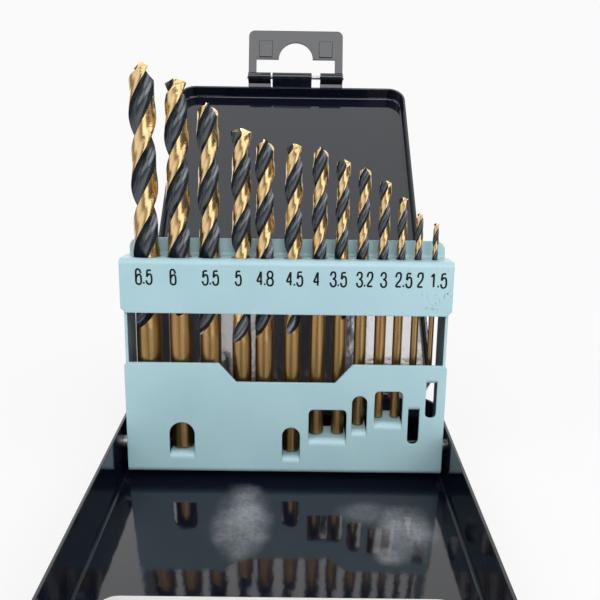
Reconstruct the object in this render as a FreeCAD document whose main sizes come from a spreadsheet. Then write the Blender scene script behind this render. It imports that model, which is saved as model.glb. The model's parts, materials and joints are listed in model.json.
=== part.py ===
import FreeCAD, Part
import math
import os
import re

import Sketcher
from FreeCAD import Placement, Rotation, Vector

# A hinged sheet-steel case for thirteen twist drills. The tray lies on the table, the lid leans back on
# its hinge, and between them a folded rack stands up out of the tray with the drills in it. The case
# hangs in a shop from a tab hinged on the lid's far edge.
#
# Row frame: X to the right, Y from the front to the hinge, Z up, origin at the middle of the tray's
# underside. The rack and its drills share a leaning frame: x as above, y from the panel's front face to
# the back, z up along the panel from its lower edge. Millimetres and degrees.

DRILLS = [
    # name, diameter, whole length, flute length, clear space on its left, helix angle, turn of the flutes
    ("6_5", 6.5, 101.6, 64.6, 1.25, 31.4, 41),
    ("6_0", 6.0, 93.2, 57.5, 1.85, 31.5, 89),
    ("5_5", 5.5, 92.6, 57.6, 1.85, 29.7, 9),
    ("5_0", 5.0, 86.7, 53.2, 2.75, 31.4, 47),
    ("4_8", 4.8, 84.2, 50.2, 0.9, 30.0, 1),
    ("4_5", 4.5, 79.3, 47.3, 2.45, 30.0, 62),
    ("4_0", 4.0, 73.7, 41.7, 2.25, 28.3, 43),
    ("3_5", 3.5, 70.8, 39.8, 1.85, 28.3, 114),
    ("3_2", 3.2, 66.4, 36.3, 1.95, 28.3, 149),
    ("3_0", 3.0, 61.3, 33.0, 2.0, 26.9, 175),
    ("2_5", 2.5, 57.2, 29.9, 1.75, 24.0, 141),
    ("2_0", 2.0, 49.1, 23.4, 2.05, 24.1, 125),
    ("1_5", 1.5, 39.5, 16.8, 2.45, 24.3, 158),
]

SIZES = [
    # the pressed case
    ("case_width", 85.6),
    ("case_length", 125.5),
    ("tray_height", 14.6),
    ("lid_height", 5.2),
    ("case_wall", 0.7),
    ("corner_radius", 6),
    ("floor_radius", 1.5),
    ("floor_relief", 0.1),
    ("relief_margin", 8),
    ("rim_gap", 0.15),
    # the hinge between tray and lid, five rolled knuckles on one pin
    ("lid_tilt", 40),
    ("hinge_pin_radius", 0.8),
    ("hinge_wall", 0.75),
    ("hinge_standoff", 0.1),
    ("knuckle_length", 12),
    ("knuckle_gap", 0.3),
    ("running_clearance", 0.05),
    ("notch_clearance", 0.35),
    ("pin_overhang", 0.4),
    # the folded rack
    ("rack_setback", 22),
    ("rack_rise", 2.6),
    ("rack_lean", 7.3),
    ("rack_shift", 0.4),
    ("rack_sheet", 0.7),
    ("rack_depth", 9.5),
    ("bend_radius", 1.5),
    ("rack_side_gap", 1.5),
    ("panel_height", 29.6),
    ("panel_overhang", 0.3),
    ("panel_corner", 1),
    ("notch_top", 33.7),
    ("notch_bottom", 25),
    ("notch_depth", 4.9),
    ("band_low", 42.4),
    ("band_top", 55.9),
    ("band_chamfer", 1.2),
    ("flange_height", 4.2),
    ("flange_corner", 2.5),
    ("drill_depth", 4.9),
    ("hole_clearance", 0.15),
    ("seat_clearance", 0.05),
    # the seats under the drills, cut from the panel and folded in
    ("tab_bend", 1.7),
    ("tab_reach", 9.3),
    ("window_6_low", 3.8),
    ("window_6_height", 10),
    ("window_6_width", 6.5),
    ("window_6_shift", 0.5),
    ("window_45_low", 2.9),
    ("window_45_height", 9.8),
    ("window_45_width", 4.6),
    ("window_4_low", 7.8),
    ("window_4_height", 9.8),
    ("window_4_width", 9.7),
    ("window_32_low", 10.3),
    ("window_32_height", 11.1),
    ("window_32_width", 3.9),
    ("window_3_low", 12.4),
    ("window_3_height", 10.3),
    ("window_3_width", 7.2),
    ("window_corner", 1.2),
    ("slot_2_low", 8.45),
    ("slot_2_width", 2.9),
    ("slot_15_low", 15.65),
    ("slot_15_width", 2.75),
    ("slot_height", 9.2),
    ("slot_bend", 1.2),
    # the rivets that the rack turns on
    ("pivot_height", 6.3),
    ("pivot_depth", 5.0),
    ("rivet_radius", 1.1),
    ("rivet_head_radius", 1.9),
    ("rivet_head", 0.5),
    ("rivet_collar_radius", 1.7),
    ("rivet_side_play", 0.12),
    ("rivet_seat_clearance", 0.02),
    # the hang tab on the lid's far edge
    ("hang_pin_out", 3.1),
    ("hang_pin_in", 2.0),
    ("hang_pin_radius", 0.72),
    ("hang_wall", 1.0),
    ("hang_sheet", 0.8),
    ("hang_lean", 20),
    ("hang_width", 36),
    ("hang_height", 18.3),
    ("hang_corner", 2.2),
    ("hang_tail", 3.85),
    ("hang_shift", 1.3),
    ("hang_knuckle", 8.6),
    ("hang_slot_width", 30),
    ("hang_slot_height", 5.5),
    ("hang_arch_radius", 6.5),
    ("boss_width", 5),
    ("boss_height", 6.2),
    ("boss_rise", 0.35),
    ("boss_spacing", 23),
    ("boss_level", 11.2),
    ("leaf_width", 14.9),
    ("leaf_sheet", 0.7),
    ("leaf_length", 3.4),
    ("leaf_offset", 0.25),
    # the blank label plate on the tray's floor
    ("label_width", 73),
    ("label_length", 54),
    ("label_thickness", 0.4),
    ("label_corner", 4),
    ("label_margin", 8.3),
    # the drills, and the clear space at the right end of their row
    ("space_end", 1.85),
    ("shank_relief", 0.03),
    ("chamfer_share", 0.2),
    ("point_angle", 135),
    ("chisel_share", 0.1),
    ("web_share", 0.18),
    ("flute_share", 0.42),
]
for drill_name, diameter, whole, flute, space, helix, turn in DRILLS:
    SIZES += [
        (f"diameter_{drill_name}", diameter),
        (f"length_{drill_name}", whole),
        (f"flute_{drill_name}", flute),
        (f"space_{drill_name}", space),
        (f"helix_{drill_name}", helix),
        (f"turn_{drill_name}", turn),
    ]
ALIASES = {alias for alias, number in SIZES}

doc = FreeCAD.newDocument("drill_index_case")
sheet = doc.addObject("Spreadsheet::Sheet", "Sizes")
for row, (alias, number) in enumerate(SIZES, 1):
    sheet.set(f"A{row}", str(number))
    sheet.setAlias(f"A{row}", alias)
doc.recompute()


def size(alias):
    """A driving dimension, read back from the sheet."""
    return float(sheet.get(alias))


def bind(item, prop, text):
    """Binds a property to an expression in which each driving dimension stands under its own name."""
    words = re.sub(r"[a-z_]\w*", lambda m: f"Sizes.{m.group()}" if m.group() in ALIASES else m.group(), text)
    item.setExpression(prop, words)


def place(item, x="0", y="0", z="0", lean=None):
    """Binds an item's place, and its turn about X where it leans."""
    if lean:
        item.Placement = Placement(Vector(), Rotation(Vector(1, 0, 0), 1))
        bind(item, "Placement.Rotation.Angle", lean)
    for side, text in zip("xyz", (x, y, z)):
        bind(item, f"Placement.Base.{side}", text)
    return item


def box(name, x, y, z):
    """A block between pairs of expressions."""
    item = doc.addObject("Part::Box", name)
    for prop, (low, high) in zip(("Length", "Width", "Height"), (x, y, z)):
        bind(item, prop, f"({high}) - ({low})")
    return place(item, x[0], y[0], z[0])


ALONG = {
    "x": Rotation(Vector(0, 1, 0), 90),
    "y": Rotation(Vector(1, 0, 0), -90),
    "z": Rotation(),
}


def rod(name, axis, radius, x, y, z):
    """A cylinder; the coordinate along its axis is a pair of expressions."""
    item = doc.addObject("Part::Cylinder", name)
    low = {"x": x, "y": y, "z": z}
    start, end = low[axis]
    low[axis] = start
    item.Placement = Placement(Vector(), ALONG[axis])
    bind(item, "Radius", radius)
    bind(item, "Height", f"({end}) - ({start})")
    for side in "xyz":
        bind(item, f"Placement.Base.{side}", low[side])
    return item


QUARTER = {"back_down": 0, "back_up": 90, "front_up": 180, "front_down": 270}


def bend(name, quarter, x, y, z, outer):
    """A quarter bend in the rack's sheet along X, round the line at y, z."""
    ring = rod(f"{name}_outer", "x", outer, x, y, z)
    turn = Rotation(Vector(1, 0, 0), QUARTER[quarter])
    ring.Placement = Placement(Vector(), turn.multiply(ALONG["x"]))
    for side, text in zip("xyz", (x[0], y, z)):
        bind(ring, f"Placement.Base.{side}", text)
    ring.Angle = 90
    bore = rod(f"{name}_bore", "x", f"({outer}) - rack_sheet", x, y, z)
    return cut(name, ring, [bore])


def fuse(name, items):
    item = doc.addObject("Part::MultiFuse", name)
    item.Shapes = items
    item.Refine = True
    return item


def cut(name, base, tools):
    item = doc.addObject("Part::Cut", name)
    item.Base = base
    item.Tool = tools[0] if len(tools) == 1 else fuse(f"{name}_tools", tools)
    item.Refine = True
    return item


def edges_where(shape, test):
    """The numbers of the edges whose two ends and middle all pass a test."""
    found = []
    for number, edge in enumerate(shape.Edges, 1):
        ends = [v.Point for v in edge.Vertexes]
        if len(ends) == 2 and all(test(p) for p in ends + [edge.CenterOfMass]):
            found.append(number)
    return found


def near(value, target):
    return abs(value - target) < 1e-4


def fillet(name, base, radius, test):
    """A Part fillet on the edges that pass a test."""
    doc.recompute()
    item = doc.addObject("Part::Fillet", name)
    item.Base = base
    item.Edges = [(n, radius, radius) for n in edges_where(base.Shape, test)]
    return item


def across(half):
    """A span symmetric about zero."""
    return (f"-{half}", half)


# ---------------------------------------------------------------- the pressed case


def pressed_shell(name, y, z):
    """An open pan with round corners and floor edges: pad, fillets, then the wall."""
    body = doc.addObject("PartDesign::Body", name)
    plane = next(f for f in body.Origin.OriginFeatures if f.Role == "XY_Plane")
    sketch = body.newObject("Sketcher::SketchObject", f"{name}_outline")
    sketch.AttachmentSupport = [(plane, "")]
    sketch.MapMode = "FlatFace"
    bind(sketch, "AttachmentOffset.Base.z", z[0])
    half, low, high = size("case_width") / 2, -1.0, 1.0
    corners = [(-half, low), (half, low), (half, high), (-half, high)]
    for (x0, y0), (x1, y1) in zip(corners, corners[1:] + corners[:1]):
        sketch.addGeometry(Part.LineSegment(Vector(x0, y0, 0), Vector(x1, y1, 0)), False)
    for n in range(4):
        sketch.addConstraint(Sketcher.Constraint("Coincident", n, 2, (n + 1) % 4, 1))
    for n, way in ((1, "Vertical"), (2, "Horizontal"), (3, "Vertical")):
        sketch.addConstraint(Sketcher.Constraint(way, n))
    sketch.addConstraint(Sketcher.Constraint("Symmetric", 0, 1, 0, 2, -2))
    wide = sketch.addConstraint(Sketcher.Constraint("DistanceX", 0, 1, 0, 2, 2 * half))
    long = sketch.addConstraint(Sketcher.Constraint("DistanceY", 1, 1, 1, 2, high - low))
    far = sketch.addConstraint(Sketcher.Constraint("DistanceY", -1, 1, 1, 2, high))
    for number, (word, text) in zip(
        (wide, long, far), (("width", "case_width"), ("length", "case_length"), ("far", y[1]))
    ):
        sketch.renameConstraint(number, word)
        bind(sketch, f"Constraints.{word}", text)
    pad = body.newObject("PartDesign::Pad", f"{name}_pad")
    pad.Profile = sketch
    bind(pad, "Length", f"({z[1]}) - ({z[0]})")
    doc.recompute()
    box_of = pad.Shape.BoundBox
    upright = [f"Edge{n}" for n, edge in enumerate(pad.Shape.Edges, 1) if edge.BoundBox.ZLength > 1]
    corners = body.newObject("PartDesign::Fillet", f"{name}_corners")
    corners.Base = (pad, upright)
    bind(corners, "Radius", "corner_radius")
    doc.recompute()
    foot = [
        f"Edge{n}"
        for n, edge in enumerate(corners.Shape.Edges, 1)
        if near(edge.BoundBox.ZMax, box_of.ZMin)
    ]
    floor_edge = body.newObject("PartDesign::Fillet", f"{name}_floor_edge")
    floor_edge.Base = (corners, foot)
    bind(floor_edge, "Radius", "floor_radius")
    doc.recompute()
    mouth = [
        f"Face{n}"
        for n, face in enumerate(floor_edge.Shape.Faces, 1)
        if near(face.BoundBox.ZMin, box_of.ZMax)
    ]
    wall = body.newObject("PartDesign::Thickness", f"{name}_wall")
    wall.Base = (floor_edge, mouth)
    wall.Mode = 0
    wall.Join = 0
    wall.Reversed = True
    bind(wall, "Value", "case_wall")
    doc.recompute()
    return body


HINGE_OUTER = "(hinge_pin_radius + running_clearance + hinge_wall)"
HINGE_OUT = "(hinge_pin_radius + running_clearance + hinge_standoff)"
HINGE_Y = f"(case_length / 2 + {HINGE_OUT})"
HINGE_Z = "(tray_height + rim_gap / 2)"
KNUCKLES = 5
TRAY_KNUCKLES = (0, 2, 4)
LID_KNUCKLES = (1, 3)


def knuckle_span(number, grow="0"):
    """The X range of one hinge knuckle, counted from the left."""
    start = f"({number - KNUCKLES / 2} * (knuckle_length + knuckle_gap) + knuckle_gap / 2)"
    return (f"{start} - {grow}", f"{start} + knuckle_length + {grow}")


def with_knuckles(name, shell, own, others, wall_y, rim_z, axis):
    """The shell with its own knuckles on the rim, and what cuts their bore and the other half's room."""
    y, z = axis
    tubes = [rod(f"{name}_knuckle_{n}", "x", HINGE_OUTER, knuckle_span(n), y, z) for n in own]
    whole = fuse(f"{name}_with_knuckles", [shell] + tubes)
    reach = f"({HINGE_OUTER} + notch_clearance)"
    ends = (knuckle_span(0, "1")[0], knuckle_span(KNUCKLES - 1, "1")[1])
    tools = [rod(f"{name}_bore", "x", "hinge_pin_radius + running_clearance", ends, y, z)]
    for n in others:
        room = (f"{z} - {reach}", f"{rim_z} + 1")
        tools.append(box(f"{name}_room_{n}", knuckle_span(n, "knuckle_gap"), wall_y, room))
    return whole, tools


# the rack's place, and the line that it turns on
RACK_FRONT = "(case_length / 2 - rack_setback)"
RACK_PLACE = ("rack_shift", RACK_FRONT, "case_wall + rack_rise", "-rack_lean")
PIVOT_Y = f"({RACK_FRONT} + pivot_depth * cos(rack_lean) + pivot_height * sin(rack_lean))"
PIVOT_Z = "(case_wall + rack_rise - pivot_depth * sin(rack_lean) + pivot_height * cos(rack_lean))"


def underside_relief():
    """What is pressed up round the underside, so that the tray rests on a flat rectangle inside it."""
    half_wide, half_long = "(case_width / 2)", "(case_length / 2)"
    slab = box("relief_slab", across(half_wide), across(half_long), ("-floor_relief", "floor_relief"))
    foot = doc.addObject("Part::Wedge", "relief_foot")
    for prop, text in (
        ("Xmin", f"relief_margin - {half_wide}"),
        ("Xmax", f"{half_wide} - relief_margin"),
        ("Zmin", f"relief_margin - {half_long}"),
        ("Zmax", f"{half_long} - relief_margin"),
        ("X2min", f"-{half_wide} - 1"),
        ("X2max", f"{half_wide} + 1"),
        ("Z2min", f"-{half_long} - 1"),
        ("Z2max", f"{half_long} + 1"),
        ("Ymin", "0"),
        ("Ymax", "floor_relief"),
    ):
        bind(foot, prop, text)
    foot.Placement = Placement(Vector(), Rotation(Vector(1, 0, 0), 90))
    return cut("underside_relief", slab, [foot])


def make_tray():
    half = "case_length / 2"
    shell = pressed_shell("tray_shell", (f"-{half}", half), ("0", "tray_height"))
    wall = (f"{half} - case_wall - 0.5", f"{half} + 0.5")
    axis = (HINGE_Y, HINGE_Z)
    whole, tools = with_knuckles("tray", shell, TRAY_KNUCKLES, LID_KNUCKLES, wall, "tray_height", axis)
    for side, sign in (("left", "-"), ("right", "")):
        wall = (f"{sign}(case_width / 2) - 3", f"{sign}(case_width / 2) + 3")
        hole = rod(f"tray_hole_{side}", "x", "rivet_radius + rivet_seat_clearance", wall, PIVOT_Y, PIVOT_Z)
        tools.append(hole)
    return cut("tray", whole, tools + [underside_relief()])


def make_lid():
    """The lid in its own frame: the hinge axis along X at the origin, the far edge towards +Y."""
    rim = "-(rim_gap / 2)"
    span = (HINGE_OUT, f"{HINGE_OUT} + case_length")
    shell = pressed_shell("lid_shell", span, (f"{rim} - lid_height", rim))
    wall = (f"{HINGE_OUT} - 0.5", f"{HINGE_OUT} + case_wall + 0.5")
    whole, tools = with_knuckles("lid", shell, LID_KNUCKLES, TRAY_KNUCKLES, wall, rim, ("0", "0"))
    return place(cut("lid", whole, tools), "0", HINGE_Y, HINGE_Z, "lid_tilt")


def make_hinge_pin():
    ends = (knuckle_span(0, "pin_overhang")[0], knuckle_span(KNUCKLES - 1, "pin_overhang")[1])
    return rod("hinge_pin", "x", "hinge_pin_radius", ends, HINGE_Y, HINGE_Z)


def make_label():
    low = "(label_margin - case_length / 2)"
    blank = box(
        "label_blank",
        ("-(label_width / 2)", "label_width / 2"),
        (low, f"{low} + label_length"),
        ("case_wall", "case_wall + label_thickness"),
    )
    half, front = size("label_width") / 2, size("label_margin") - size("case_length") / 2
    back = front + size("label_length")
    return fillet(
        "tray_label",
        blank,
        size("label_corner"),
        lambda p: near(abs(p.x), half) and (near(p.y, front) or near(p.y, back)),
    )


# ---------------------------------------------------------------- the folded rack

PANEL_HALF = "(case_width / 2 - case_wall - rack_side_gap)"
STRIP_OUT = f"({PANEL_HALF} - panel_overhang)"
STRIP_IN = f"({STRIP_OUT} - rack_sheet)"
BAND_OUT = f"({STRIP_OUT} + rack_sheet)"


ROW_DIAMETERS = " + ".join(f"diameter_{name}" for name, *numbers in DRILLS)
ROW_SPACES = " + ".join(f"space_{name}" for name, *numbers in DRILLS) + " + space_end"
# the clear spaces share out the width that the drills leave between the side strips
SPREAD = f"((2 * {STRIP_IN} - ({ROW_DIAMETERS})) / ({ROW_SPACES}))"


def drill_x(wanted):
    """A drill's place across the rack: the clear spaces and diameters on its left, added up."""
    left = [name for name, *numbers in DRILLS]
    left = left[: left.index(wanted)]
    spaces = " + ".join(f"space_{name}" for name in left + [wanted])
    drills = " + ".join([f"diameter_{name}" for name in left] + [f"diameter_{wanted} / 2"])
    return f"(({spaces}) * {SPREAD} + {drills} - {STRIP_IN})"


def rounded(name, axis, x, thick, along, corner, up=True):
    """A plate or cutter in the panel's or a shelf's plane whose far end has round corners."""
    start, end = along
    step = f"({end} - {corner})" if up else f"({end} + {corner})"
    inside = (f"{x[0]} + {corner} - 0.01", f"{x[1]} - {corner} + 0.01")
    items = []
    for n, (wide, (first, last)) in enumerate(((x, (start, step)), (inside, (start, end)))):
        reach = (first, last) if up else (last, first)
        sides = (wide, thick, reach) if axis == "y" else (wide, reach, thick)
        items.append(box(f"{name}_{n}", *sides))
    for n, middle in enumerate((f"{x[0]} + {corner}", f"{x[1]} - {corner}")):
        y, z = (thick, step) if axis == "y" else (step, thick)
        items.append(rod(f"{name}_corner_{n}", axis, corner, middle, y, z))
    return fuse(name, items)


def seat_window(name, middle, size_name, corner=None):
    """A window whose metal is folded in at its foot, as a shelf: the cutter and the shelf."""
    width, low, height = (f"window_{size_name}_{word}" for word in ("width", "low", "height"))
    corner = corner or f"({width} / 2)"
    x = (f"({middle} - {width} / 2)", f"({middle} + {width} / 2)")
    cutter = rounded(
        f"{name}_window", "y", x, ("-1", "rack_sheet + 0.2"), (low, f"({low} + {height})"), corner
    )
    fold = bend(f"{name}_fold", "front_up", x, "tab_bend", low, "tab_bend")
    top = f"({low} + tab_bend)"
    shelf = rounded(f"{name}_shelf", "z", x, (f"{top} - rack_sheet", top), ("tab_bend", "tab_reach"), corner)
    return cutter, [fold, shelf]


def seat_slot(name, middle, width, low):
    """A slot whose metal is folded in at its top: the cutter and the shelf."""
    x = (f"({middle} - {width} / 2)", f"({middle} + {width} / 2)")
    corner = f"({width} / 2)"
    crease = f"({low} + slot_height + slot_bend)"
    cutter = rounded(
        f"{name}_slot", "y", x, ("-1", "rack_sheet + 0.2"), (crease, low), corner, up=False
    )
    fold = bend(f"{name}_fold", "front_down", x, "slot_bend", crease, "slot_bend")
    under = f"({low} + slot_height)"
    thick = (under, f"{under} + rack_sheet")
    shelf = rounded(f"{name}_shelf", "z", x, thick, ("slot_bend", "tab_reach"), corner)
    return cutter, [fold, shelf]


def panel_half():
    """Half the panel's width, as a number."""
    return size("case_width") / 2 - size("case_wall") - size("rack_side_gap")


def between(first, second):
    return f"(({drill_x(first)} + {drill_x(second)}) / 2)"


def make_bracket():
    """The lower piece: front panel, bottom plate and side strips folded from one sheet."""
    half, top = panel_half(), size("panel_height")
    panel = fillet(
        "bracket_panel",
        box("panel_blank", across(PANEL_HALF), ("0", "rack_sheet"), ("bend_radius", "panel_height")),
        size("panel_corner"),
        lambda p: near(abs(p.x), half) and near(p.z, top),
    )
    solids = [
        panel,
        bend("bracket_bend", "front_down", across(PANEL_HALF), "bend_radius", "bend_radius", "bend_radius"),
        box("bracket_bottom", across(STRIP_OUT), ("bend_radius", "rack_depth"), ("0", "rack_sheet")),
    ]
    holes = []
    for side, x in (("left", (f"-{STRIP_OUT}", f"-{STRIP_IN}")), ("right", (STRIP_IN, STRIP_OUT))):
        strip_top = "band_top - rack_sheet"
        solids.append(box(f"strip_{side}", x, ("bend_radius", "rack_depth"), ("0", strip_top)))
        span = ("bend_radius", "band_top - bend_radius")
        solids.append(box(f"strip_front_{side}", x, ("rack_sheet", "bend_radius"), span))
        wide = (f"{x[0]} - 1", f"{x[1]} + 1")
        bore = "rivet_radius + running_clearance"
        holes.append(rod(f"pivot_hole_{side}", "x", bore, wide, "pivot_depth", "pivot_height"))
    seats = [
        seat_window("seat_6", f"({drill_x('6_0')} + window_6_shift)", "6"),
        seat_window("seat_45", drill_x("4_5"), "45"),
        seat_window("seat_4", between("4_0", "3_5"), "4", "window_corner"),
        seat_window("seat_32", drill_x("3_2"), "32"),
        seat_window("seat_3", between("3_0", "2_5"), "3", "window_corner"),
        seat_slot("seat_2", drill_x("2_0"), "slot_2_width", "slot_2_low"),
        seat_slot("seat_15", drill_x("1_5"), "slot_15_width", "slot_15_low"),
    ]
    holes += [cutter for cutter, shelf in seats]
    notch = doc.addObject("Part::Wedge", "panel_notch")
    notch.Placement = Placement(Vector(), Rotation(Vector(1, 0, 0), 90))
    spread = "(notch_top / 2 + (notch_top - notch_bottom) / (2 * notch_depth))"
    for prop, text in (
        ("Xmin", "-(notch_bottom / 2)"),
        ("Xmax", "notch_bottom / 2"),
        ("X2min", f"-{spread}"),
        ("X2max", spread),
        ("Ymin", "0"),
        ("Ymax", "notch_depth + 1"),
        ("Zmin", "-2"),
        ("Zmax", "1"),
        ("Z2min", "-2"),
        ("Z2max", "1"),
        ("Placement.Base.z", "panel_height - notch_depth"),
    ):
        bind(notch, prop, text)
    plain = cut("bracket_plain", fuse("bracket_folded", solids), holes + [notch])
    shelves = [piece for cutter, shelf in seats for piece in shelf]
    return place(fuse("rack_bracket", [plain] + shelves), *RACK_PLACE)


def make_channel():
    """The upper piece: the numbered band, its end flanges, the drilled plate and the back flange."""
    out, low = panel_half() - size("panel_overhang") + size("rack_sheet"), size("band_low")
    blank = box(
        "band_blank", across(BAND_OUT), ("0", "rack_sheet"), ("band_low", "band_top - bend_radius")
    )
    doc.recompute()
    band = doc.addObject("Part::Chamfer", "band")
    band.Base = blank
    chamfer = size("band_chamfer")
    ends = edges_where(blank.Shape, lambda p: near(abs(p.x), out) and near(p.z, low))
    band.Edges = [(n, chamfer, chamfer) for n in ends]
    back_low = "(band_top - rack_sheet + bend_radius)"
    back_y = "(rack_depth - bend_radius)"
    half, top = out - size("rack_sheet"), size("band_top") + size("flange_height")
    flange = fillet(
        "back_flange",
        box(
            "flange_blank",
            across(STRIP_OUT),
            ("rack_depth - rack_sheet", "rack_depth"),
            (back_low, "band_top + flange_height"),
        ),
        size("flange_corner"),
        lambda p: near(abs(p.x), half) and near(p.z, top),
    )
    front_z = "(band_top - bend_radius)"
    solids = [
        band,
        bend("band_bend", "front_up", across(BAND_OUT), "bend_radius", front_z, "bend_radius"),
        box("band_plate", across(BAND_OUT), ("bend_radius", back_y), ("band_top - rack_sheet", "band_top")),
        bend("flange_bend", "back_down", across(STRIP_OUT), back_y, back_low, "bend_radius"),
        flange,
    ]
    for side, x in (("left", (f"-{BAND_OUT}", f"-{STRIP_OUT}")), ("right", (STRIP_OUT, BAND_OUT))):
        high = "band_top - rack_sheet"
        solids.append(box(f"band_end_{side}", x, ("bend_radius", back_y), ("band_low + band_chamfer", high)))
        span = ("band_low + band_chamfer", front_z)
        solids.append(box(f"band_side_{side}", x, ("rack_sheet", "bend_radius"), span))
    holes = [
        rod(
            f"hole_{name}",
            "z",
            f"diameter_{name} / 2 + hole_clearance",
            drill_x(name),
            "drill_depth",
            ("band_top - rack_sheet - 1", "band_top + 2"),
        )
        for name, *numbers in DRILLS
    ]
    return place(cut("rack_top_channel", fuse("channel_folded", solids), holes), *RACK_PLACE)


def make_rivet(side):
    """A shouldered rivet: its head outside the tray, its collar between tray and rack."""
    sign = {"left": -1, "right": 1}[side]
    wall_out = "case_width / 2"
    strip_out = f"({STRIP_OUT} + {sign} * rack_shift)"
    strip_in = f"({STRIP_IN} + {sign} * rack_shift)"
    inner_face = f"({strip_in} - rivet_side_play)"
    steps = [
        ("head", "rivet_head_radius", wall_out, f"{wall_out} + rivet_head"),
        ("shank", "rivet_radius", f"{inner_face} - rivet_head", f"{wall_out} + rivet_head"),
        ("collar", "rivet_collar_radius", f"{strip_out} + rivet_side_play", f"{wall_out} - case_wall"),
        ("end", "rivet_collar_radius", f"{inner_face} - rivet_head", inner_face),
    ]
    solids = []
    for word, radius, low, high in steps:
        span = (low, high) if sign > 0 else (f"-({high})", f"-({low})")
        solids.append(rod(f"rivet_{side}_{word}", "x", radius, span, PIVOT_Y, PIVOT_Z))
    return fuse(f"rack_rivet_{side}", solids)


# ---------------------------------------------------------------- the hang tab

HANG_OUTER = "(hang_pin_radius + running_clearance + hang_wall)"
LID_EDGE = f"({HINGE_OUT} + case_length)"
LID_PIN_Y = f"({LID_EDGE} + hang_pin_out)"
LID_PIN_Z = "(hang_pin_in - rim_gap / 2)"
HANG_Y = f"({HINGE_Y} + {LID_PIN_Y} * cos(lid_tilt) - {LID_PIN_Z} * sin(lid_tilt))"
HANG_Z = f"({HINGE_Z} + {LID_PIN_Y} * sin(lid_tilt) + {LID_PIN_Z} * cos(lid_tilt))"


def make_leaf():
    """The lid's own knuckle for the tab: a strap on its far wall and an arm that runs into the roll."""
    wide = ("-(leaf_width / 2)", "leaf_width / 2")
    rim = "-(rim_gap / 2)"
    foot_z = f"({rim} - leaf_offset)"
    strap = box("leaf_strap", wide, (LID_EDGE, f"{LID_EDGE} + leaf_sheet"), (f"{rim} - leaf_length", foot_z))
    out, rise = "(hang_pin_out - leaf_offset)", "(hang_pin_in + leaf_offset)"
    reach = f"sqrt({out}^2 + {rise}^2)"
    slope = f"(atan({rise} / {out}) + asin({HANG_OUTER} / {reach}))"
    arm = doc.addObject("Part::Box", "leaf_arm")
    arm.Placement = Placement(Vector(), Rotation(Vector(1, 0, 0), 1))
    for prop, text in (
        ("Length", "leaf_width"),
        ("Width", f"sqrt({reach}^2 - {HANG_OUTER}^2)"),
        ("Height", "hang_wall"),
        ("Placement.Rotation.Angle", slope),
        ("Placement.Base.x", wide[0]),
        ("Placement.Base.y", f"{LID_EDGE} + leaf_offset + hang_wall * sin({slope})"),
        ("Placement.Base.z", f"{foot_z} - hang_wall * cos({slope})"),
    ):
        bind(arm, prop, text)
    roll = rod("leaf_roll", "x", HANG_OUTER, wide, LID_PIN_Y, LID_PIN_Z)
    ends = (f"{wide[0]} - 1", f"{wide[1]} + 1")
    bore = rod("leaf_bore", "x", "hang_pin_radius + running_clearance", ends, LID_PIN_Y, LID_PIN_Z)
    leaf = cut("hang_tab_leaf", fuse("leaf_solid", [strap, arm, roll]), [bore])
    return place(leaf, "0", HINGE_Y, HINGE_Z, "lid_tilt")


def make_hang_pin():
    half = "(hang_width / 2 + pin_overhang)"
    ends = (f"hang_shift - {half}", f"hang_shift + {half}")
    return rod("hang_tab_pin", "x", "hang_pin_radius", ends, HANG_Y, HANG_Z)


def make_tab():
    """The tab in its own frame: the pin along X at the origin, the tab up along Z behind it."""
    half = "(hang_width / 2)"
    back = (f"({HANG_OUTER} - hang_sheet)", HANG_OUTER)
    edge, top = size("hang_width") / 2, size("hang_height")
    plate = fillet(
        "tab_plate",
        box("tab_blank", across(half), back, ("-hang_tail", "hang_height")),
        size("hang_corner"),
        lambda p: near(abs(p.x), edge) and near(p.z, top),
    )
    front = back[0]
    bosses = []
    for n, sign in enumerate("-+"):
        x = f"({sign}boss_spacing / 2)"
        bosses.append(
            box(
                f"tab_boss_{n}",
                (f"{x} - boss_width / 2", f"{x} + boss_width / 2"),
                (f"{front} - boss_rise", f"{front} + hang_sheet / 2"),
                ("boss_level - boss_height / 2", "boss_level + boss_height / 2"),
            )
        )
    slot_top = f"({HANG_OUTER} + hang_slot_height)"
    gap = "(hang_width / 2 - hang_knuckle)"
    through = (f"{front} - 1", f"{HANG_OUTER} + 1")
    holes = [
        box("tab_slot", across("(hang_slot_width / 2)"), through, (HANG_OUTER, slot_top)),
        rod("tab_arch", "y", "hang_arch_radius", "0", through, slot_top),
        box("tab_notch", across(gap), through, ("-hang_tail - 1", f"{HANG_OUTER} + 0.5")),
    ]
    pierced = cut("tab_pierced", fuse("tab_embossed", [plate] + bosses), holes)
    rolls = [
        rod(f"tab_roll_{n}", "x", HANG_OUTER, span, "0", "0")
        for n, span in enumerate(((f"-{half}", f"-{gap}"), (gap, half)))
    ]
    bore_ends = (f"-{half} - 1", f"{half} + 1")
    bore = rod("tab_bore", "x", "hang_pin_radius + running_clearance", bore_ends, "0", "0")
    tab = cut("hang_tab", fuse("tab_solid", [pierced] + rolls), [bore])
    return place(tab, "hang_shift", HANG_Y, HANG_Z, "-hang_lean")


# ---------------------------------------------------------------- the drills

# where each drill stands: the bottom plate, or the shelf folded in for it
WINDOW_SEATS = {
    "6_0": "window_6_low",
    "4_5": "window_45_low",
    "4_0": "window_4_low",
    "3_5": "window_4_low",
    "3_2": "window_32_low",
    "3_0": "window_3_low",
    "2_5": "window_3_low",
}
SLOT_SEATS = {"2_0": "slot_2_low", "1_5": "slot_15_low"}


def seat_height(name):
    """The height of a drill's foot above the rack's lower edge."""
    if name in WINDOW_SEATS:
        top = f"{WINDOW_SEATS[name]} + tab_bend"
    elif name in SLOT_SEATS:
        top = f"{SLOT_SEATS[name]} + slot_height + rack_sheet"
    else:
        top = "rack_sheet"
    return f"({top} + seat_clearance)"


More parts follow.
